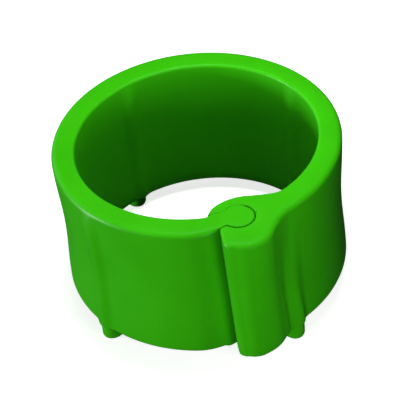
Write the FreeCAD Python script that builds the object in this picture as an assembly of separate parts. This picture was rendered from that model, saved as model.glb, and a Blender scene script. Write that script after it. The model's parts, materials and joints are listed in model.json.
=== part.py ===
# Snap-closing leg band for poultry: one ring of moulded plastic that springs open opposite its closure.
# Millimetres.  +Z runs up the bird's leg, z = 0 is the plane the feet stand on, and the axis of the
# leg is the Z axis.  The closure faces -Y, with the bead's axis a trace left of the plane x = 0.
# The moulding is divided where it bends: a back segment and six segments each side, which hinge on
# the band's outer face, then the bead on the left end and the two-jawed socket on the right end.
import FreeCAD, Part
import math
import os

V = FreeCAD.Vector

# ---- driving dimensions -------------------------------------------------------------------------
OUTER_R = 9.66              # outside of the band
INNER_HALF_X = 8.12         # the bore is a trace wider across than front to back,
INNER_HALF_Y = 7.88         # and takes a 16 mm leg size
BAND_Z = 1.0                # lower edge of the band, one foot height above the ground
BAND_H = 10.5
TOP_Z = BAND_Z + BAND_H
OUTER_EDGE_R = 0.35         # rounding of the rim's outer edge
INNER_EDGE_R = 0.2          # rounding of the rim's inner edge

BACK_DEG = 90.0             # middle of the band, opposite the closure
BACK_HALF_DEG = 8.5         # half the angle of the back segment
SEGMENT_DEG = 24.3          # angle of each segment of the arms
ARM_SEGMENTS = 5            # whole segments in each arm, before the one that carries the closure

RIB_HALF_WIDTH = 1.2        # upright oval ribs, let into the wall and standing proud of its outside
RIB_HALF_DEPTH = 0.8
RIB_TOP_Z = TOP_Z - 0.5     # they end under the rim
FOOT_HALF_WIDTH = 0.72      # each rib runs out below the band as a narrower oval foot
FOOT_HALF_DEPTH = 0.88
FOOT_EDGE_R = 0.36
# direction of each rib, and the distances of its axis and of its foot's axis from the leg axis
RIBS = {
    "back": (107.8, 9.06, 8.96),
    "left": (204.6, 9.06, 8.96),
    "right": (18.6, 9.06, 8.96),
    "closure": (-71.5, 9.08, 9.15),
}

BEAD = V(-0.12, -8.48, 0)   # axis of the bead
BEAD_R = 1.02
FIT_GAP = 0.05              # play of the bead and neck in the socket
NECK_INNER_Y = -7.70        # the neck between the band and the bead
NECK_OUTER_Y = -9.10
NECK_X = -1.9               # where the band ends and the neck begins
TAPER_DEG = -114.0          # where the left end starts to thin towards the neck
TAPER_END = V(NECK_X, -9.12, 0)

SOCKET_DEG = -62.0          # where the socket's thicker web starts on the right end
FLANK_DEG = -71.9           # where the outer jaw's flank leaves the band
CUT_DEG = 45.0              # the jaws bend on planes at this angle each side of the bead
SLOT_RISE = 0.09            # slope of the inner jaw's slot wall, for the bead swings in as it leaves
SLOT_REACH = 3.0            # length of the cutters that open the socket to the left
JAW_SLANT = 0.4             # the outer jaw's end face is this much shorter at the bottom
FAR = 30.0                  # beyond every part of the band


def polar(radius, degrees):
    angle = math.radians(degrees)
    return V(radius * math.cos(angle), radius * math.sin(angle), 0)


def bore_point(degrees):
    """Point of the oval bore in one direction from the leg axis."""
    angle = math.radians(degrees)
    radius = 1 / math.hypot(math.cos(angle) / INNER_HALF_X, math.sin(angle) / INNER_HALF_Y)
    return polar(radius, degrees)


def arc(start, middle, end):
    return Part.Arc(start, middle, end).toShape()


def line(start, end):
    return Part.makeLine(start, end)


def band_arc(start_deg, end_deg):
    """Stretch of the band's outer circle."""
    middle_deg = (start_deg + end_deg) / 2
    return arc(polar(OUTER_R, start_deg), polar(OUTER_R, middle_deg), polar(OUTER_R, end_deg))


def bore_arc(start_deg, end_deg):
    """Stretch of the oval bore."""
    bore = Part.Ellipse(V(0, 0, 0), INNER_HALF_X, INNER_HALF_Y)
    first = bore.parameter(bore_point(min(start_deg, end_deg)))
    last = bore.parameter(bore_point(max(start_deg, end_deg)))
    return Part.ArcOfEllipse(bore, first, last).toShape()


def prism(edges, low=BAND_Z, high=TOP_Z):
    """Upright solid on a closed outline."""
    face = Part.Face(Part.Wire(Part.__sortEdges__(edges)))
    face.translate(V(0, 0, low))
    return face.extrude(V(0, 0, high - low))


def polygon_prism(points):
    """Upright cutter, taller than the band, on straight-sided outline."""
    ends = points[1:] + points[:1]
    return prism([line(a, b) for a, b in zip(points, ends)], BAND_Z - 1, TOP_Z + 1)


def sector(centre, start_deg, end_deg):
    """Upright cutter that spreads from a line between two directions."""
    middle_deg = (start_deg + end_deg) / 2
    rays = [centre + polar(FAR, degrees) for degrees in (start_deg, middle_deg, end_deg)]
    return polygon_prism([centre] + rays)


def post(centre, radius, low, high):
    return Part.makeCylinder(radius, high - low, V(centre.x, centre.y, low))


def is_on_rim(edge):
    """True for an edge that lies flat in the top or the bottom face of the band."""
    box = edge.BoundBox
    return box.ZLength < 1e-6 and min(abs(box.ZMin - BAND_Z), abs(box.ZMax - TOP_Z)) < 1e-6


def round_rims(solid, is_outer, is_inner):
    """Round the rim edges that the two tests choose, by their middle points."""
    for chosen, radius in ((is_outer, OUTER_EDGE_R), (is_inner, INNER_EDGE_R)):
        edges = [edge for edge in solid.Edges if is_on_rim(edge) and chosen(middle_of(edge))]
        solid = solid.makeFillet(radius, edges)
    return solid


def middle_of(edge):
    return edge.valueAt((edge.FirstParameter + edge.LastParameter) / 2)


def distance_out(point):
    return math.hypot(point.x, point.y)


# ---- the band -----------------------------------------------------------------------------------
def whole_ring():
    """The band's wall as a plain ring with rounded rims, to cut the segments from."""
    outside = Part.makeCylinder(OUTER_R, BAND_H, V(0, 0, BAND_Z))
    bore = Part.Ellipse(V(0, 0, 0), INNER_HALF_X, INNER_HALF_Y).toShape()
    ring = outside.cut(prism([bore]))
    wall_middle = (OUTER_R + INNER_HALF_X) / 2
    rim_edges = [edge for edge in ring.Edges if is_on_rim(edge)]
    outer_edges = [edge for edge in rim_edges if distance_out(middle_of(edge)) > wall_middle]
    ring = ring.makeFillet(OUTER_EDGE_R, outer_edges)
    inner_edges = [edge for edge in ring.Edges
                   if is_on_rim(edge) and distance_out(middle_of(edge)) < INNER_HALF_X + 0.01]
    return ring.makeFillet(INNER_EDGE_R, inner_edges)


def hinge_degrees(side):
    """Directions of the six hinge lines of one arm, from the back; side is +1 left, -1 right."""
    offsets = [BACK_HALF_DEG + SEGMENT_DEG * number for number in range(ARM_SEGMENTS + 1)]
    return [BACK_DEG + side * offset for offset in offsets]


def segments(ring):
    """The back segment and the whole segments of both arms."""
    parts = {"band_back": (BACK_DEG - BACK_HALF_DEG, BACK_DEG + BACK_HALF_DEG)}
    for name, side in (("left_arm", 1), ("right_arm", -1)):
        hinges = hinge_degrees(side)
        for number in range(ARM_SEGMENTS):
            parts[f"{name}_{number + 1}"] = tuple(sorted(hinges[number:number + 2]))
    parts["right_arm_end"] = (SOCKET_DEG, hinge_degrees(-1)[-1])
    centre = V(0, 0, 0)
    return {name: ring.common(sector(centre, low, high)) for name, (low, high) in parts.items()}


def taper_arc():
    """Arc that leaves the outer circle smoothly and comes in to the neck."""
    outward = polar(1, TAPER_DEG)
    centre_r = (OUTER_R ** 2 - TAPER_END.Length ** 2) / (2 * (OUTER_R - TAPER_END.dot(outward)))
    centre = polar(centre_r, TAPER_DEG)
    to_end = TAPER_END - centre
    middle_deg = (TAPER_DEG + math.degrees(math.atan2(to_end.y, to_end.x))) / 2
    return arc(polar(OUTER_R, TAPER_DEG), centre + polar(to_end.Length, middle_deg), TAPER_END)


def left_arm_end():
    """The last of the left arm, which thins on its outside towards the neck."""
    start_deg = hinge_degrees(1)[-1] - 360
    bore_y = -INNER_HALF_Y * math.sqrt(1 - (NECK_X / INNER_HALF_X) ** 2)
    corner = V(NECK_X, bore_y, 0)
    corner_deg = math.degrees(math.atan2(bore_y, NECK_X))
    outline = [
        band_arc(start_deg, TAPER_DEG),
        taper_arc(),
        line(TAPER_END, corner),
        bore_arc(start_deg, corner_deg),
        line(bore_point(start_deg), polar(OUTER_R, start_deg)),
    ]
    wall_middle = (OUTER_R + INNER_HALF_X) / 2

    def on_outside(point):
        return distance_out(point) > wall_middle + 0.3

    def on_bore(point):
        return distance_out(point) < INNER_HALF_X

    return round_rims(prism(outline), on_outside, on_bore)


# ---- the closure --------------------------------------------------------------------------------
def snap_bead():
    return post(BEAD, BEAD_R, BAND_Z, TOP_Z)


def neck_box(play):
    """The straight neck between the band's left end and the bead, with play on both faces."""
    left_x = NECK_X if play == 0 else -SLOT_REACH
    inner_y = NECK_INNER_Y + play
    outer_y = NECK_OUTER_Y - play
    corners = [
        V(left_x, outer_y, 0),
        V(BEAD.x, outer_y, 0),
        V(BEAD.x, inner_y, 0),
        V(left_x, inner_y, 0),
    ]
    return prism([line(a, b) for a, b in zip(corners, corners[1:] + corners[:1])])


def bead_neck():
    return neck_box(0).cut(snap_bead())


def socket_block():
    """The socket before it is opened: web, both jaws and their lips in one plain block."""
    flank_start = polar(OUTER_R, FLANK_DEG)
    flank_foot = V(2.62, -9.40, 0)
    flank_hollow = V(2.0, -9.91, 0)
    jaw_shoulder = V(1.42, -10.58, 0)
    jaw_crown = V(0.0, -11.42, 0)
    jaw_corner_start = V(-1.35, -10.98, 0)
    jaw_corner = V(-1.70, -10.76, 0)
    jaw_corner_end = V(-1.85, -10.40, 0)
    outer_lip_tip = V(-1.64, -9.15, 0)
    inner_lip_tip = V(-1.92, -7.60, 0)
    hump_rise = V(-1.56, -7.12, 0)
    hump_shoulder = V(-0.86, -6.76, 0)
    hump_crown = V(0.05, -6.60, 0)
    hump_fall = V(1.0, -6.74, 0)
    hump_slope = V(1.8, -7.0, 0)
    hump_foot = V(2.55, -7.19, 0)
    hump_merge = V(3.1, -7.22, 0)
    merge_x = 3.6
    merge_y = -INNER_HALF_Y * math.sqrt(1 - (merge_x / INNER_HALF_X) ** 2)
    merge_end = V(merge_x, merge_y, 0)
    merge_deg = math.degrees(math.atan2(merge_y, merge_x))
    outside = [
        band_arc(SOCKET_DEG, FLANK_DEG),
        arc(flank_start, V(2.80, -9.27, 0), flank_foot),
        arc(flank_foot, flank_hollow, jaw_shoulder),
        arc(jaw_shoulder, jaw_crown, jaw_corner_start),
        arc(jaw_corner_start, jaw_corner, jaw_corner_end),
        line(jaw_corner_end, outer_lip_tip),
    ]
    mouth = [line(outer_lip_tip, inner_lip_tip)]
    inside = [
        arc(inner_lip_tip, hump_rise, hump_shoulder),
        arc(hump_shoulder, hump_crown, hump_fall),
        arc(hump_fall, hump_slope, hump_foot),
        arc(hump_foot, hump_merge, merge_end),
        bore_arc(SOCKET_DEG, merge_deg),
    ]
    root = [line(bore_point(SOCKET_DEG), polar(OUTER_R, SOCKET_DEG))]
    return prism(outside + mouth + inside + root)


def end_trimmer():
    """Cutter that slants the outer jaw's end face, which is full length only at the top."""
    left_x = -2.6
    mouth_x, mouth_y = -1.63, -9.0
    outside_x, outside_y = -1.90, -11.6

    def outline(z, shift):
        corners = [
            V(left_x, mouth_y, z),
            V(mouth_x + shift, mouth_y, z),
            V(outside_x + shift, outside_y, z),
            V(left_x, outside_y, z),
        ]
        return Part.makePolygon(corners + corners[:1])

    return Part.makeLoft([outline(TOP_Z, 0), outline(BAND_Z, JAW_SLANT)], True)


def socket_parts():
    """The socket opened for the bead and neck, and divided into web, jaws and snap lips."""
    opened = socket_block().cut(post(BEAD, BEAD_R + FIT_GAP, BAND_Z, TOP_Z)).cut(neck_box(FIT_GAP))
    slot_half = BEAD_R + FIT_GAP
    slot = polygon_prism([
        V(BEAD.x, BEAD.y - slot_half, 0),
        V(BEAD.x, BEAD.y + slot_half, 0),
        V(-SLOT_REACH, BEAD.y + slot_half + SLOT_RISE * SLOT_REACH, 0),
        V(-SLOT_REACH, BEAD.y - slot_half, 0),
    ])
    outer_side = sector(BEAD, -180, -CUT_DEG)
    inner_side = sector(BEAD, CUT_DEG, 180)
    opened = opened.cut(end_trimmer())
    jaws = opened.cut(slot)
    return {
        "socket_root": jaws.cut(outer_side).cut(inner_side),
        "outer_jaw": jaws.common(outer_side),
        "inner_jaw": jaws.common(inner_side),
        "outer_snap_lip": opened.common(slot).common(outer_side),
        "inner_snap_lip": opened.common(slot).common(inner_side),
    }


# ---- ribs and feet ------------------------------------------------------------------------------
def oval_post(direction, axis_r, half_width, half_depth, low, high):
    """Upright oval post, its long and short axes along and across the wall."""
    long_axis = max(half_width, half_depth)
    short_axis = min(half_width, half_depth)
    turn = direction - 90 if half_width > half_depth else direction
    solid = prism([Part.Ellipse(V(0, 0, 0), long_axis, short_axis).toShape()], low, high)
    solid.rotate(V(0, 0, 0), V(0, 0, 1), turn)
    solid.translate(polar(axis_r, direction))
    return solid


def rib(name):
    direction, axis_r, _ = RIBS[name]
    return oval_post(direction, axis_r, RIB_HALF_WIDTH, RIB_HALF_DEPTH, BAND_Z, RIB_TOP_Z)


def foot(name):
    direction, _, axis_r = RIBS[name]
    peg = oval_post(direction, axis_r, FOOT_HALF_WIDTH, FOOT_HALF_DEPTH, 0, BAND_Z)
    ground_edges = [edge for edge in peg.Edges if edge.BoundBox.ZMax < 1e-6]
    return peg.makeFillet(FOOT_EDGE_R, ground_edges)


def with_ribs_set_in(parts):
    """Each wall segment with the room its rib takes, and the ribs and feet themselves."""
    posts = {name: rib(name) for name in RIBS}
    homes = {"back": "left_arm_1", "left": "left_arm_5", "right": "right_arm_3", "closure": "socket_root"}
    for name, home in homes.items():
        parts[home] = parts[home].cut(posts[name])
        parts[f"rib_{name}"] = posts[name]
        parts[f"foot_{name}"] = foot(name)
    return parts


def whole_band():
    parts = segments(whole_ring())
    parts["left_arm_end"] = left_arm_end()
    parts["bead_neck"] = bead_neck()
    parts["snap_bead"] = snap_bead()
    parts.update(socket_parts())
    return with_ribs_set_in(parts)


os.makedirs("parts", exist_ok=True)
for node, shape in whole_band().items():
    solids = shape.Solids
    result = solids[0] if len(solids) == 1 else Part.makeCompound(solids)
    result.exportStep(f"parts/{node}.step")
    print(f"{node:18s} solids {len(solids)}  volume {shape.Volume:8.3f}  valid {shape.isValid()}")
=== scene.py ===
import bpy
import json
import math
from mathutils import Matrix, Vector
from mathutils.geometry import delaunay_2d_cdt
from mathutils.kdtree import KDTree


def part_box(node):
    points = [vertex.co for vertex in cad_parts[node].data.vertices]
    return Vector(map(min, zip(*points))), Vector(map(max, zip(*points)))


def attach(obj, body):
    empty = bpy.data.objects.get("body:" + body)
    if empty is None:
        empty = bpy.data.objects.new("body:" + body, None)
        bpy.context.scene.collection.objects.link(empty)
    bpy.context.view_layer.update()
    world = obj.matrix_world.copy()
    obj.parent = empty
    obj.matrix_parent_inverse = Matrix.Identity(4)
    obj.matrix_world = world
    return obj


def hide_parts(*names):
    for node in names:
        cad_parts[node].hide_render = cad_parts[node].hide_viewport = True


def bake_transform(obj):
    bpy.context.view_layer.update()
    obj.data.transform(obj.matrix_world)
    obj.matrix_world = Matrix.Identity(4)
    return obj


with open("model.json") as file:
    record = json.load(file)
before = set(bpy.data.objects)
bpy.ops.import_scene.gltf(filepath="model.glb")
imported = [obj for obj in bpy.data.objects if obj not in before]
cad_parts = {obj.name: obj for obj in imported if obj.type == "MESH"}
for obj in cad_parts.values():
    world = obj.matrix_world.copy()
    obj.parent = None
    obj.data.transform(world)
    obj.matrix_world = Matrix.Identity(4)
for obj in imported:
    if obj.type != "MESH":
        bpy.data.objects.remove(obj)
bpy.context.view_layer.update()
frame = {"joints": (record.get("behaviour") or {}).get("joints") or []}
MM = 0.001                          # the plan of the band is worked out in millimetres


# ---- Camera -------------------------------------------------------------------------------------
# A long lens that looks down on the closure from its left, with the horizon tipped a little, so
# that the band leans to the left in the frame.
def camera_axes(azimuth, elevation, roll):
    """Right, up and back vectors of a camera that circles the leg axis."""
    a, e, turn = (math.radians(x) for x in (azimuth, elevation, roll))
    back = Vector((math.sin(a) * math.cos(e), -math.cos(a) * math.cos(e), math.sin(e)))
    right = Vector((math.cos(a), math.sin(a), 0))
    up = back.cross(right)
    return (right * math.cos(turn) + up * math.sin(turn),
            up * math.cos(turn) - right * math.sin(turn), back)


CAMERA_DISTANCE = 113.2
AIM_LEFT = 0.15                     # the camera aims this far left of and below the band's middle
AIM_DOWN = 0.22
right, up, back = camera_axes(azimuth=-15.2, elevation=41.0, roll=-6.35)
wall_low, wall_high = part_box("band_back")
middle = Vector((0, 0, (wall_low.z + wall_high.z) / 2))
aim = middle - right * AIM_LEFT * MM - up * AIM_DOWN * MM
stand = aim + back * CAMERA_DISTANCE * MM
camera = bpy.data.objects.new("camera", bpy.data.cameras.new("camera"))
camera.data.lens = 149.6
camera.data.clip_start = 0.01
camera.matrix_world = Matrix((
    (right.x, up.x, back.x, stand.x),
    (right.y, up.y, back.y, stand.y),
    (right.z, up.z, back.z, stand.z),
    (0, 0, 0, 1),
))
bpy.context.scene.collection.objects.link(camera)
bpy.context.scene.camera = camera


# ---- Studio -------------------------------------------------------------------------------------
# A white table among soft lights: low ones in front, on the left and behind, and small ones close
# above the bore and before the jaw.  The card on the back left shows only as a gleam on the wall.
def soft_light(name, place, size, power, glossy=True, diffuse=True):
    """Square area light at a place in millimetres, aimed at the band."""
    lamp = bpy.data.lights.new(name, "AREA")
    lamp.size = size * MM
    lamp.energy = power
    lamp_object = bpy.data.objects.new(name, lamp)
    lamp_object.location = Vector(place) * MM
    lamp_object.rotation_euler = (lamp_object.location - middle).to_track_quat("Z", "Y").to_euler()
    lamp_object.visible_glossy = glossy
    lamp_object.visible_diffuse = diffuse
    bpy.context.scene.collection.objects.link(lamp_object)


soft_light("front_left_light", place=(-130, -225, 50), size=60, power=0.18, glossy=False)
soft_light("front_light", place=(20, -260, 50), size=60, power=0.03)
soft_light("jaw_light", place=(4, -31, 12), size=8, power=0.0019, glossy=False)
soft_light("left_light", place=(-256, 40, 24), size=44, power=0.50)
soft_light("back_light", place=(90, 245, 30), size=50, power=0.16, glossy=False)
soft_light("top_light", place=(-1, 3, 47), size=16, power=0.0140, glossy=False)
soft_light("bore_light", place=(9, -3, 40), size=10, power=0.0035, glossy=False)
soft_light("back_left_card", place=(-125, 195, 60), size=160, power=0.065, diffuse=False)
world = bpy.data.worlds.new("studio")
world.use_nodes = True
world.node_tree.nodes["Background"].inputs["Color"].default_value = (1, 1, 1, 1)
world.node_tree.nodes["Background"].inputs["Strength"].default_value = 0.02
bpy.context.scene.world = world
bpy.context.scene.view_settings.view_transform = "Standard"

TABLE_HALF = 600 * MM
table_mesh = bpy.data.meshes.new("table")
table_mesh.from_pydata([(x * TABLE_HALF, y * TABLE_HALF, 0)
                        for x, y in ((-1, -1), (1, -1), (1, 1), (-1, 1))], [], [(0, 1, 2, 3)])
table = bpy.data.objects.new("table", table_mesh)
table_paint = bpy.data.materials.new("table_white")
table_paint.use_nodes = True
table_shader = table_paint.node_tree.nodes["Principled BSDF"]
table_shader.inputs["Base Color"].default_value = (0.9, 0.9, 0.9, 1)
table_shader.inputs["Roughness"].default_value = 0.9
table_shader.inputs["Emission Color"].default_value = (1, 1, 1, 1)
table_shader.inputs["Emission Strength"].default_value = 0.74
table_mesh.materials.append(table_paint)
# It is seen by the camera only, and sends no light back onto the band.
table.visible_diffuse = False
table.visible_glossy = False
bpy.context.scene.collection.objects.link(table)


# ---- Green plastic ------------------------------------------------------------------------------
# The whole band is one shot of through-coloured plastic, so every piece takes this material: even
# green with a faint cloudiness, a fine eggshell skin from the mould, and a soft gloss.
class Value:
    """A socket that takes part in Python arithmetic, each operator adding its Math node."""

    def __init__(self, shader, socket):
        self.shader = shader
        self.socket = socket

    def math(self, operation, *others):
        return self.shader.node("ShaderNodeMath", {"operation": operation},
                                {i: other for i, other in enumerate((self, *others))})

    def __add__(self, other):
        return self.math("ADD", other)

    __radd__ = __add__

    def __mul__(self, other):
        return self.math("MULTIPLY", other)

    __rmul__ = __mul__

    def __sub__(self, other):
        return self.math("SUBTRACT", other)

    def __rsub__(self, other):
        return self * -1 + other


class Shader:
    """The node tree of one material, with its Principled shader at the end."""

    def __init__(self, name):
        self.material = bpy.data.materials.new(name)
        self.material.use_nodes = True
        self.tree = self.material.node_tree
        self.surface = self.tree.nodes["Principled BSDF"]

    def node(self, kind, settings, sockets, output=0):
        made = self.tree.nodes.new(kind)
        for key, value in settings.items():
            setattr(made, key, value)
        self.feed(made, sockets)
        return Value(self, made.outputs[output])

    def feed(self, target, sockets):
        for key, value in sockets.items():
            if isinstance(value, Value):
                self.tree.links.new(value.socket, target.inputs[key])
            else:
                target.inputs[key].default_value = value


MIX_FIRST = 6                       # sockets of a Mix node when it mixes colours
MIX_SECOND = 7
MIX_RESULT = 2


def green_plastic():
    shader = Shader("green_plastic")
    place = shader.node("ShaderNodeTexCoord", {}, {}, "Object")
    clouds = shader.node("ShaderNodeTexNoise", {}, {"Vector": place, "Scale": 260.0, "Detail": 3.0})
    grain = shader.node("ShaderNodeTexNoise", {}, {"Vector": place, "Scale": 5200.0, "Detail": 2.0})
    colour = shader.node("ShaderNodeMix", {"data_type": "RGBA"}, {
        "Factor": (clouds - 0.5) * 1.6 + 0.5,
        MIX_FIRST: (0.029, 0.385, 0.002, 1),
        MIX_SECOND: (0.037, 0.445, 0.003, 1),
    }, MIX_RESULT)
    roughness = 0.34 + 0.10 * clouds + 0.05 * grain
    bump = shader.node("ShaderNodeBump", {}, {
        "Strength": 0.25, "Distance": 0.00002, "Height": grain + clouds * 3.0})
    shader.feed(shader.surface, {"Base Color": colour, "Roughness": roughness, "Normal": bump})
    shader.surface.inputs["IOR"].default_value = 1.49
    shader.surface.inputs["Specular IOR Level"].default_value = 0.25
    return shader.material


PLASTIC = green_plastic()


def finish_piece(name, vertices, faces, sharp_faces=()):
    """Mesh object of green plastic from millimetre points; sharp_faces are flat caps."""
    mesh = bpy.data.meshes.new(name)
    mesh.from_pydata([Vector(v) * MM for v in vertices], [], faces)
    mesh.materials.append(PLASTIC)
    mesh.shade_smooth()
    caps = set(sharp_faces)
    cap_edges = {key for index in caps for key in mesh.polygons[index].edge_keys}
    for index in caps:
        mesh.polygons[index].use_smooth = False
    for edge in mesh.edges:
        edge.use_edge_sharp = edge.key in cap_edges
    mesh.validate()
    piece = bpy.data.objects.new(name, mesh)
    bpy.context.scene.collection.objects.link(piece)
    return piece


# ---- Band wall ----------------------------------------------------------------------------------
# A slightly waisted wall with a crowned rim, moulded in one with the ribs that stand in it.  It is made
# in lengths that run from the middle of one segment to the middle of the next.
OUTER_R = wall_high.y / MM
BORE_HALF_X = 8.12
BORE_HALF_Y = 7.88
LOW_Z = wall_low.z / MM
TOP_Z = wall_high.z / MM
OUTER_EDGE = 0.36                   # rounding of the rim outside and inside
BORE_EDGE = 0.22
EDGE_STEPS = 6
CROWN = 0.05                        # how far the middle of the rim stands above its edges
CROWN_REACH = 0.8                   # from the edge to the top of the crown
CROWN_STEPS = 3
WAIST = 0.2                         # the outside draws in by this at half height
RIB_HALF_WIDTH = 1.0
RIB_TOP = TOP_Z - 0.2
RIB_RISE = 0.3                      # how proud a rib stands
RIB_FADE = 1.2                      # height over which it comes out of the wall
CLOSURE_RIB_RISE = 0.37
INNER_SHARE = 0.7                   # a rib stands this much less proud inside
DEGREES_PER_STEP = 0.7
WALL_LEVELS = 12


def smooth(x):
    x = min(max(x, 0.0), 1.0)
    return x * x * (3 - 2 * x)


def polar(radius, degrees):
    angle = math.radians(degrees)
    return Vector((radius * math.cos(angle), radius * math.sin(angle)))


def bore_radius(degrees):
    angle = math.radians(degrees)
    return 1 / math.hypot(math.cos(angle) / BORE_HALF_X, math.sin(angle) / BORE_HALF_Y)


def direction_of(node):
    """Direction of an upright node from the leg axis, in degrees."""
    centre = sum(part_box(node), Vector())
    return math.degrees(math.atan2(centre.y, centre.x))


# Three ribs come out just under the rim, and the one beside the closure all the way down to its foot.
RIBS = [(direction_of(f"rib_{name}"), RIB_RISE, RIB_FADE) for name in ("left", "back", "right")]
RIBS.append((direction_of("rib_closure"), CLOSURE_RIB_RISE, TOP_Z - LOW_Z))


def rib_swell(degrees, z):
    """How far a rib lifts the wall's face at a direction and height."""
    swell = 0.0
    for centre, rise, fade in RIBS:
        along = math.radians((degrees - centre + 180) % 360 - 180) * OUTER_R
        if abs(along) < RIB_HALF_WIDTH:
            proud = rise * smooth((RIB_TOP - z) / fade)
            swell += proud * (1 + math.cos(math.pi * along / RIB_HALF_WIDTH)) / 2
    return swell


def waist(z):
    """How far the outside is drawn in at a height."""
    return WAIST * math.sin(math.pi * (z - LOW_Z) / (TOP_Z - LOW_Z)) ** 2


def rim_drop(distance, edge):
    """Depth below the crown at a distance in from a rim edge of that rounding."""
    crown = CROWN * min(edge / BORE_EDGE, 1) * (1 - min(distance / CROWN_REACH, 1)) ** 2
    if distance >= edge:
        return crown
    return crown + edge - math.sqrt(max(edge ** 2 - (edge - distance) ** 2, 0))


def rim_distances(edge, half_wall):
    """Distances from a rim edge to the middle of the wall: round the edge, then up the crown."""
    rounding = [edge * (1 - math.cos(math.pi / 2 * i / EDGE_STEPS)) for i in range(EDGE_STEPS + 1)]
    crown = [edge + (half_wall - edge) * i / CROWN_STEPS for i in range(1, CROWN_STEPS + 1)]
    return rounding + crown


def side_levels(low, high):
    """Heights of the rows of points up a side face."""
    return [low + (high - low) * i / WALL_LEVELS for i in range(1, WALL_LEVELS)]


def wall_section(degrees):
    """Closed outline of the wall cut in one direction, as (radius, height) points."""
    bore = bore_radius(degrees)
    half_wall = (OUTER_R - bore) / 2
    outside = rim_distances(OUTER_EDGE, half_wall)
    inside = rim_distances(BORE_EDGE, half_wall)

    def outer_point(distance, z):
        reach = 1 - distance / half_wall
        return (OUTER_R - distance + (rib_swell(degrees, z) - waist(z)) * reach, z)

    def inner_point(distance, z):
        reach = 1 - distance / half_wall
        return (bore + distance - INNER_SHARE * rib_swell(degrees, z) * reach, z)

    def levels(edge):
        return side_levels(LOW_Z + CROWN + edge, TOP_Z - CROWN - edge)

    section = [outer_point(d, LOW_Z + rim_drop(d, OUTER_EDGE)) for d in reversed(outside)]
    section += [outer_point(0, z) for z in levels(OUTER_EDGE)]
    section += [outer_point(d, TOP_Z - rim_drop(d, OUTER_EDGE)) for d in outside]
    section += [inner_point(d, TOP_Z - rim_drop(d, BORE_EDGE)) for d in reversed(inside[:-1])]
    section += [inner_point(0, z) for z in reversed(levels(BORE_EDGE))]
    section += [inner_point(d, LOW_Z + rim_drop(d, BORE_EDGE)) for d in inside[:-1]]
    return section


def wall_length(name, first_deg, last_deg):
    """The wall between two directions, closed at both ends."""
    steps = max(2, round(abs(last_deg - first_deg) / DEGREES_PER_STEP))
    low, high = sorted((first_deg, last_deg))
    vertices = []
    for i in range(steps + 1):
        degrees = low + (high - low) * i / steps
        for radius, z in wall_section(degrees):
            flat = polar(radius, degrees)
            vertices.append((flat.x, flat.y, z))
    count = len(vertices) // (steps + 1)
    faces = []
    for i in range(steps):
        for j in range(count):
            a = i * count + j
            b = i * count + (j + 1) % count
            faces.append((a, a + count, b + count, b))
    faces.append(tuple(range(count)))
    faces.append(tuple(reversed(range(steps * count, (steps + 1) * count))))
    return finish_piece(name, vertices, faces, (len(faces) - 2, len(faces) - 1))


def joint_to(child):
    return next(joint for joint in frame["joints"] if joint["child"] == child)


def hinge_direction(child):
    """Direction in degrees of the hinge that carries a body, from the leg axis."""
    x, y, _ = joint_to(child)["pos_m"]
    return math.degrees(math.atan2(y, x)) % 360


LEFT_BODIES = [f"left_arm_{i}" for i in range(1, 6)] + ["left_arm_end"]
RIGHT_BODIES = [f"right_arm_{i}" for i in range(1, 6)] + ["socket"]
LEFT_CUT = 228.0                    # where the wall's lengths meet the two ends of the closure
RIGHT_CUT = 310.0
moulding = []                       # every piece whose faces run on into its neighbours'
for side, bodies, last_cut in (("left", LEFT_BODIES, LEFT_CUT), ("right", RIGHT_BODIES, RIGHT_CUT)):
    hinges = [hinge_direction(body) for body in bodies]
    if side == "right":
        hinges = [degrees if degrees <= 90 else degrees - 360 for degrees in hinges]
        last_cut -= 360
    cuts = [90.0] + [(a + b) / 2 for a, b in zip(hinges, hinges[1:])] + [last_cut]
    for number, body in enumerate(bodies):
        length = wall_length(f"wall_{side}_{number + 1}", cuts[number], cuts[number + 1])
        moulding.append(length)
        tangent = (polar(1, hinges[number] + 90) if side == "left" else polar(1, hinges[number] - 90))
        hinge = polar(OUTER_R, hinges[number])
        behind = OUTER_R * math.sin(math.radians(abs(hinges[number] - cuts[number])))
        ahead = OUTER_R * math.sin(math.radians(abs(hinges[number] - cuts[number + 1])))
        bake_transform(length)
        stands_for = [body] if body != "socket" else ["right_arm_end"]
        if body == "left_arm_1":
            stands_for.append("band_back")
        if body != "left_arm_end":
            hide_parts(*stands_for)


# ---- Soft-edged plates --------------------------------------------------------------------------
# The two ends of the band are full-height plates whose plan is drawn once, and whose top and bottom
# edges are rounded like the rim's.  The same drop from the edge joins them to the wall unseen.
EDGE_SPACING = 0.07
FILL_SPACING = 0.22
OUTSIDE_REACH = 0.8                 # ribs and waist die away this far in from the outside
ON_PATH = 0.005                     # a point this close to a rim path lies on it
ROW_SLACK = 0.02                    # how much closer to the rim a point may lie than its row
ROWS_REACH = 0.25                   # rows of points follow a rim path this far past its rounding
SPREAD_GAP = 0.3                    # and the even spread of points keeps this far past it
BORDER_GAP = 0.06                   # a point keeps a share of this away from the outline, or of its own
BORDER_SHARE = 0.6                  # row's distance if that is less
SHARP_TURN_DEG = 0.8                # a path that turns more than this at a point is eased there
INSIDE_ONLY = 1                     # the triangulation's setting for filling just the outline
MERGE_LIMIT = 1e-7


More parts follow.
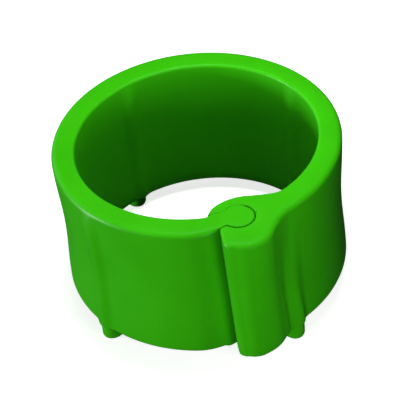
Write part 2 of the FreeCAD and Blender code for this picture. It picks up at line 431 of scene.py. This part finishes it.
def arc_points(start, via, end):
    """Points along the circle through three, close enough to look round."""
    a, b, c = Vector(start), Vector(via), Vector(end)
    turn = 2 * ((b - a).x * (c - a).y - (b - a).y * (c - a).x)
    ab, ac = (b - a).length_squared, (c - a).length_squared
    centre = a + Vector(((c - a).y * ab - (b - a).y * ac, (b - a).x * ac - (c - a).x * ab)) / turn
    radius = (a - centre).length
    first = math.atan2((a - centre).y, (a - centre).x)
    sweep = math.atan2((c - centre).y, (c - centre).x) - first
    if turn > 0:
        sweep %= 2 * math.pi
    else:
        sweep = -((-sweep) % (2 * math.pi))
    steps = max(2, math.ceil(abs(sweep) * radius / EDGE_SPACING))
    return [centre + radius * Vector((math.cos(first + sweep * i / steps),
                                      math.sin(first + sweep * i / steps))) for i in range(steps + 1)]


def circle_points(centre, radius, first_deg, last_deg):
    steps = max(2, math.ceil(abs(math.radians(last_deg - first_deg)) * radius / EDGE_SPACING))
    return [centre + polar(radius, first_deg + (last_deg - first_deg) * i / steps)
            for i in range(steps + 1)]


def bore_points(first_deg, last_deg):
    steps = max(2, math.ceil(abs(last_deg - first_deg) / DEGREES_PER_STEP))
    return [polar(bore_radius(d), d) for d in
            (first_deg + (last_deg - first_deg) * i / steps for i in range(steps + 1))]


def line_points(start, end):
    a, b = Vector(start), Vector(end)
    steps = max(1, math.ceil((b - a).length / EDGE_SPACING))
    return [a.lerp(b, i / steps) for i in range(steps + 1)]


def soften(a, b, c):
    """The middle of three points, eased toward its neighbours where the path turns at it."""
    turn = (b - a).angle(c - b)
    return (a + b * 2 + c) / 4 if turn > math.radians(SHARP_TURN_DEG) else b


def rounded_path(stretches, passes=6):
    """One path of (point, edge rounding) from stretches of both, with its corners softened."""
    path = []
    for points, edge in stretches:
        for point in points:
            if not path or (point - path[-1][0]).length > EDGE_SPACING / 3:
                path.append((point, edge))
    for _ in range(passes):
        inner = [(soften(a[0], b[0], c[0]), (a[1] + b[1] * 2 + c[1]) / 4)
                 for a, b, c in zip(path, path[1:], path[2:])]
        path = [path[0]] + inner + [path[-1]]
    return path


class RimEdge:
    """Finds how far a point is from a path, and the rounding of the edge there."""

    def __init__(self, path):
        self.path = path
        self.tree = KDTree(len(path))
        for i, (point, _) in enumerate(path):
            self.tree.insert((point.x, point.y, 0), i)
        self.tree.balance()

    def nearest(self, point):
        _, index, _ = self.tree.find((point.x, point.y, 0))
        best = (math.inf, self.path[index][1])
        for i in (index - 1, index):
            if 0 <= i < len(self.path) - 1:
                (a, edge_a), (b, edge_b) = self.path[i], self.path[i + 1]
                share = min(max((point - a).dot(b - a) / (b - a).length_squared, 0), 1)
                found = ((point - a.lerp(b, share)).length, edge_a + (edge_b - edge_a) * share)
                best = min(best, found)
        return best

    def drop(self, point):
        distance, edge = self.nearest(point)
        return rim_drop(distance, edge)


def is_inside(point, outline):
    inside = False
    for a, b in zip(outline, outline[1:] + outline[:1]):
        if (a.y > point.y) != (b.y > point.y):
            if point.x < a.x + (point.y - a.y) * (b.x - a.x) / (b.y - a.y):
                inside = not inside
    return inside


def fill_points(outline, rim):
    """Points inside a plan: rows that follow its rounded edge, then an even spread."""
    found = []
    for (a, _), (point, edge), (b, _) in zip(rim.path, rim.path[1:], rim.path[2:]):
        inward = Vector((a.y - b.y, b.x - a.x)).normalized()
        for distance in rim_distances(edge, edge + ROWS_REACH)[1:]:
            found.append((point + inward * distance, distance))
    low = Vector((min(p.x for p in outline), min(p.y for p in outline)))
    high = Vector((max(p.x for p in outline), max(p.y for p in outline)))
    rows = math.ceil((high.y - low.y) / FILL_SPACING)
    columns = math.ceil((high.x - low.x) / FILL_SPACING)
    for row in range(rows):
        for column in range(columns):
            shift = 0.5 * (row % 2)
            spot = low + Vector((column + shift, row)) * FILL_SPACING
            found.append((spot, OUTER_EDGE + SPREAD_GAP))
    border = RimEdge([(point, 0) for point in outline + outline[:1]])
    return [point for point, distance in found
            if rim.nearest(point)[0] > distance - ROW_SLACK and is_inside(point, outline)
            and border.nearest(point)[0] > min(distance, BORDER_GAP) * BORDER_SHARE]


def with_ribs_and_waist(x, y, z):
    """A point of a plate, moved with the band's ribs and waist where it is near the outside."""
    out = math.hypot(x, y)
    share = min(max((out - OUTER_R + OUTSIDE_REACH) / OUTSIDE_REACH, 0), 1)
    grow = 1 + (rib_swell(math.degrees(math.atan2(y, x)), z) - waist(z)) * share / out
    return (x * grow, y * grow, z)


def soft_plate(name, outline, rim, shape=with_ribs_and_waist):
    """Full-height plate on a plan outline, its top and bottom rounded off along the rim path.

    Its side faces are smooth along the path and flat caps elsewhere.
    """
    points = outline + fill_points(outline, rim)
    border = [(i, (i + 1) % len(outline)) for i in range(len(outline))]
    flat, _, triangles, origins, _, _ = delaunay_2d_cdt(
        points, border, [], INSIDE_ONLY, MERGE_LIMIT)
    drops = [rim.drop(point) for point in flat]
    count = len(flat)
    vertices = [(p.x, p.y, TOP_Z - drop) for p, drop in zip(flat, drops)]
    vertices += [(p.x, p.y, LOW_Z + drop) for p, drop in zip(flat, drops)]
    faces = [tuple(t) for t in triangles]
    faces += [tuple(i + count for i in reversed(t)) for t in triangles]
    ring = [next(i for i, source in enumerate(origins) if k in source) for k in range(len(outline))]
    columns = []
    for i in ring:
        levels = side_levels(LOW_Z + drops[i], TOP_Z - drops[i])
        columns.append([i + count, *range(len(vertices), len(vertices) + len(levels)), i])
        vertices += [(flat[i].x, flat[i].y, z) for z in levels]
    sharp = []
    for left, right_hand in zip(columns, columns[1:] + columns[:1]):
        is_cap = max(rim.nearest(flat[side[-1]])[0] for side in (left, right_hand)) > ON_PATH
        for level in range(len(left) - 1):
            if is_cap:
                sharp.append(len(faces))
            faces.append((left[level + 1], left[level], right_hand[level], right_hand[level + 1]))
    return finish_piece(name, [shape(*v) for v in vertices], faces, sharp)


def cut_points(degrees, from_outside):
    """Radial row of points where a plate meets the wall, at the wall's own section points."""
    bore = bore_radius(degrees)
    half_wall = (OUTER_R - bore) / 2
    outside = [polar(OUTER_R - d, degrees) for d in rim_distances(OUTER_EDGE, half_wall)[1:]]
    inside = [polar(bore + d, degrees) for d in rim_distances(BORE_EDGE, half_wall)[1:-1]]
    row = outside + inside[::-1]
    return row if from_outside else row[::-1]


# ---- Left end and bead --------------------------------------------------------------------------
# The left end thins on its outside to a short neck, which carries the round bead that snaps home.
bead_low, bead_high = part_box("snap_bead")
BEAD = ((bead_low + bead_high) / 2 / MM).xy
BEAD_R = (bead_high.x - bead_low.x) / 2 / MM
SEAM_EDGE = 0.1                     # rounding where bead and socket meet in a visible groove
SLIT_EDGE = 0.05                    # a finer one along the neck
SHUT_EDGE = 0.01                    # and where they meet without one
TAPER_DEG = -114.0
TAPER_END = Vector((-1.9, -9.11))
NECK_INNER = Vector((-1.9, -7.70))
LIP_MEET = 206.0                    # where the neck runs into the bead, outside and inside
NECK_MEET = 128.5
left_cut_deg = LEFT_CUT - 360


def taper_points():
    """Arc that leaves the outer circle smoothly and comes in to the neck."""
    out = polar(1, TAPER_DEG)
    centre_r = (OUTER_R ** 2 - TAPER_END.length_squared) / (2 * (OUTER_R - TAPER_END.dot(out)))
    centre = polar(centre_r, TAPER_DEG)
    to_end = TAPER_END - centre
    end_deg = math.degrees(math.atan2(to_end.y, to_end.x))
    return circle_points(centre, to_end.length, TAPER_DEG, end_deg)


neck_bore = Vector((NECK_INNER.x, -BORE_HALF_Y * math.sqrt(1 - (NECK_INNER.x / BORE_HALF_X) ** 2)))
neck_bore_deg = math.degrees(math.atan2(neck_bore.y, neck_bore.x))
left_path = rounded_path([
    (circle_points(Vector((0, 0)), OUTER_R, left_cut_deg, TAPER_DEG), OUTER_EDGE),
    (taper_points(), OUTER_EDGE),
    (line_points(TAPER_END, (-1.45, -9.04)), SLIT_EDGE),
    (line_points((-1.45, -9.04), BEAD + polar(BEAD_R, LIP_MEET)), SLIT_EDGE),
    (circle_points(BEAD, BEAD_R, LIP_MEET - 360, 55), SEAM_EDGE),
    (circle_points(BEAD, BEAD_R, 55, NECK_MEET), SHUT_EDGE),
    (line_points(BEAD + polar(BEAD_R, NECK_MEET), NECK_INNER), SHUT_EDGE),
    (bore_points(neck_bore_deg, left_cut_deg), BORE_EDGE),
])
left_rim = RimEdge(left_path)
left_outline = [point for point, _ in left_path] + cut_points(left_cut_deg, False)
left_end = soft_plate("left_end_with_bead", left_outline, left_rim)
moulding.append(left_end)
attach(left_end, "left_arm_end")
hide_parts("left_arm_end", "bead_neck", "snap_bead")


# ---- Socket -------------------------------------------------------------------------------------
# The right end thickens into a web with two jaws round the bead: a stout one outside, whose flank
# runs down to the band, and a thin one inside that stands into the bore.
FIT_GAP = 0.05
FLANK_DEG = -71.9
JAW_SLANT = 0.4                     # the jaw's end face is this much shorter at the bottom
JAW_DRAFT = 0.28                    # and it stands out by this share less
FLANK_LEAN = 0.3                    # while its flank leans this far to the right
JAW_END_X = -1.62                   # where the slant is at its full
right_cut_deg = RIGHT_CUT - 360
merge_point = Vector((3.6, -BORE_HALF_Y * math.sqrt(1 - (3.6 / BORE_HALF_X) ** 2)))
merge_deg = math.degrees(math.atan2(merge_point.y, merge_point.x))
cavity_r = BEAD_R + FIT_GAP
lip_crest = BEAD + polar(cavity_r, LIP_MEET)
socket_path = rounded_path([
    (bore_points(right_cut_deg, merge_deg), BORE_EDGE),
    (arc_points(merge_point, (3.1, -7.22), (2.55, -7.19)), BORE_EDGE),
    (arc_points((2.55, -7.19), (1.8, -7.00), (1.0, -6.74)), BORE_EDGE),
    (arc_points((1.0, -6.74), (0.05, -6.60), (-0.86, -6.76)), BORE_EDGE),
    (arc_points((-0.86, -6.76), (-1.56, -7.12), (-1.92, -7.62)), BORE_EDGE),
    (line_points((-1.92, -7.67), BEAD + polar(BEAD_R + 0.02, NECK_MEET)), SHUT_EDGE),
    (circle_points(BEAD, BEAD_R + 0.02, NECK_MEET, 60), SHUT_EDGE),
    (circle_points(BEAD, cavity_r, 55, LIP_MEET - 360), SEAM_EDGE),
    (line_points(lip_crest, (-1.45, -9.1)), SLIT_EDGE),
    (line_points((-1.45, -9.1), (-1.64, -9.15)), SLIT_EDGE),
    (line_points((-1.64, -9.2), (-1.85, -10.40)), OUTER_EDGE * 0.5),
    (arc_points((-1.85, -10.40), (-1.70, -10.76), (-1.35, -10.98)), OUTER_EDGE * 0.8),
    (arc_points((-1.35, -10.98), (0.0, -11.42), (1.42, -10.58)), OUTER_EDGE),
    (arc_points((1.42, -10.58), (2.0, -9.91), (2.62, -9.40)), OUTER_EDGE),
    (arc_points((2.62, -9.40), (2.80, -9.27), polar(OUTER_R, FLANK_DEG)), OUTER_EDGE),
    (circle_points(Vector((0, 0)), OUTER_R, FLANK_DEG, right_cut_deg), OUTER_EDGE),
])
socket_rim = RimEdge(socket_path)
socket_points = [point for point, _ in socket_path]
web_point = BEAD + polar(cavity_r, -3)
split = min(range(len(socket_points)), key=lambda i: (socket_points[i] - web_point).length)
right_half_wall = (OUTER_R + bore_radius(right_cut_deg)) / 2
seam = [socket_points[split]] + line_points((1.3, -8.60), (1.53, -8.66))
seam += circle_points(Vector((0, 0)), right_half_wall, -79, right_cut_deg)
cut_row = cut_points(right_cut_deg, True)
middle_index = min(range(len(cut_row)), key=lambda i: (cut_row[i] - seam[-1]).length)
seam[-1] = cut_row[middle_index]
inner_outline = socket_points[:split] + seam + cut_row[middle_index + 1:]
outer_outline = socket_points[split:] + cut_row[:middle_index] + seam[:0:-1]


def bend_at_jaw(piece):
    """Bakes the piece's placement into its mesh points."""
    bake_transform(piece)


def with_draft(x, y, z):
    """A point of the outer half: towards the bottom the jaw stands out less and is cut shorter."""
    x, y, z = with_ribs_and_waist(x, y, z)
    depth = (TOP_Z - z) / (TOP_Z - LOW_Z)
    out = math.hypot(x, y)
    keep = 1 - JAW_DRAFT * depth * max(out - OUTER_R - 0.1, 0) / out
    # The flank leans from just right of the bead's middle on, where it stands out past the band.
    lean = FLANK_LEAN * depth * smooth((x - 0.3) / 1.2) * smooth((out - OUTER_R) / 0.5)
    x, y = x * keep + lean, y * keep
    # The slant begins close to the jaw's end beside the slit, and past its middle on the outer side.
    slant_from = -1.0 + 1.4 * smooth((-9.3 - y) / 0.8)
    share = min(max((slant_from - x) / (slant_from - JAW_END_X), 0), 1) * smooth((-8.9 - y) / 0.1)
    return (x + JAW_SLANT * share * depth, y, z)


outer_half = soft_plate("socket_outer_half", outer_outline, socket_rim, with_draft)
bend_at_jaw(outer_half)
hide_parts("socket_root", "outer_jaw", "outer_snap_lip", "rib_closure")
inner_half = soft_plate("socket_inner_half", inner_outline, socket_rim)
bend_at_jaw(inner_half)
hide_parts("inner_jaw", "inner_snap_lip")
moulding += [outer_half, inner_half]


def corner_angle(face, corner, points):
    """Angle of a face at one of its corners."""
    here = points[face.vertices[corner]]
    to_last = points[face.vertices[corner - 1]] - here
    to_next = points[face.vertices[(corner + 1) % len(face.vertices)]] - here
    return to_last.angle(to_next, 0)


def shade_as_one(pieces):
    """Shade the pieces as one skin, so that the planes where they meet don't show."""
    skin = {}
    for piece in pieces:
        points = [vertex.co for vertex in piece.data.vertices]
        for face in piece.data.polygons:
            for corner, index in enumerate(face.vertices):
                if face.use_smooth:
                    spot = tuple(round(x / MM, 4) for x in points[index])
                    share = face.normal * corner_angle(face, corner, points)
                    skin[spot] = skin.get(spot, Vector()) + share
    for piece in pieces:
        mesh = piece.data
        normals = [None] * len(mesh.loops)
        for face in mesh.polygons:
            for loop, index in zip(face.loop_indices, face.vertices):
                spot = tuple(round(x / MM, 4) for x in mesh.vertices[index].co)
                normals[loop] = skin[spot].normalized() if face.use_smooth else face.normal
        mesh.normals_split_custom_set(normals)


shade_as_one(moulding)


# ---- Feet ---------------------------------------------------------------------------------------
# Each rib runs out below the band as a short oval foot with a domed edge, whose sides
# sink back into the wall above its lower edge.
FOOT_HALF_WIDTH = 0.72
FOOT_HALF_DEPTH = 0.88
FOOT_EDGE = 0.36
FOOT_RUN_OUT = ((0, 0), (0.04, 0.5), (0.16, 1.2), (0.45, 2.4))   # how it sinks into the wall above
FOOT_SIDES = 56
FOOT_BODIES = {"foot_left": "left_arm_5", "foot_back": "left_arm_1",
               "foot_right": "right_arm_3", "foot_closure": "socket"}


def foot_profile():
    """(inset from the oval, height) points of a foot, from its flat end up into the wall."""
    turns = [math.pi / 2 * i / EDGE_STEPS for i in range(EDGE_STEPS + 1)]
    ground = [(FOOT_EDGE * (1 - math.sin(turn)), FOOT_EDGE * (1 - math.cos(turn))) for turn in turns]
    return ground + [(inset, LOW_Z + rise) for inset, rise in FOOT_RUN_OUT]


for node, body in FOOT_BODIES.items():
    low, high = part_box(node)
    centre = ((low + high) / 2 / MM).xy
    across = polar(1, direction_of(node))
    along = Vector((-across.y, across.x))
    profile = foot_profile()
    vertices = [(*centre, 0)]
    for inset, z in profile:
        for i in range(FOOT_SIDES):
            turn = 2 * math.pi * i / FOOT_SIDES
            spot = centre + across * (FOOT_HALF_DEPTH - inset) * math.cos(turn)
            spot += along * (FOOT_HALF_WIDTH - inset) * math.sin(turn)
            vertices.append((*spot, z))
    vertices.append((*centre, profile[-1][1]))
    faces = [(0, 1 + (i + 1) % FOOT_SIDES, 1 + i) for i in range(FOOT_SIDES)]
    for level in range(len(profile) - 1):
        base = 1 + level * FOOT_SIDES
        for i in range(FOOT_SIDES):
            a, b = base + i, base + (i + 1) % FOOT_SIDES
            faces.append((a, b, b + FOOT_SIDES, a + FOOT_SIDES))
    top = 1 + (len(profile) - 1) * FOOT_SIDES
    faces += [(top + i, top + (i + 1) % FOOT_SIDES, len(vertices) - 1) for i in range(FOOT_SIDES)]
    peg = finish_piece(f"{node}_peg", vertices, faces)
    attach(peg, body)
    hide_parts(node, *([node.replace("foot", "rib")] if node != "foot_closure" else []))
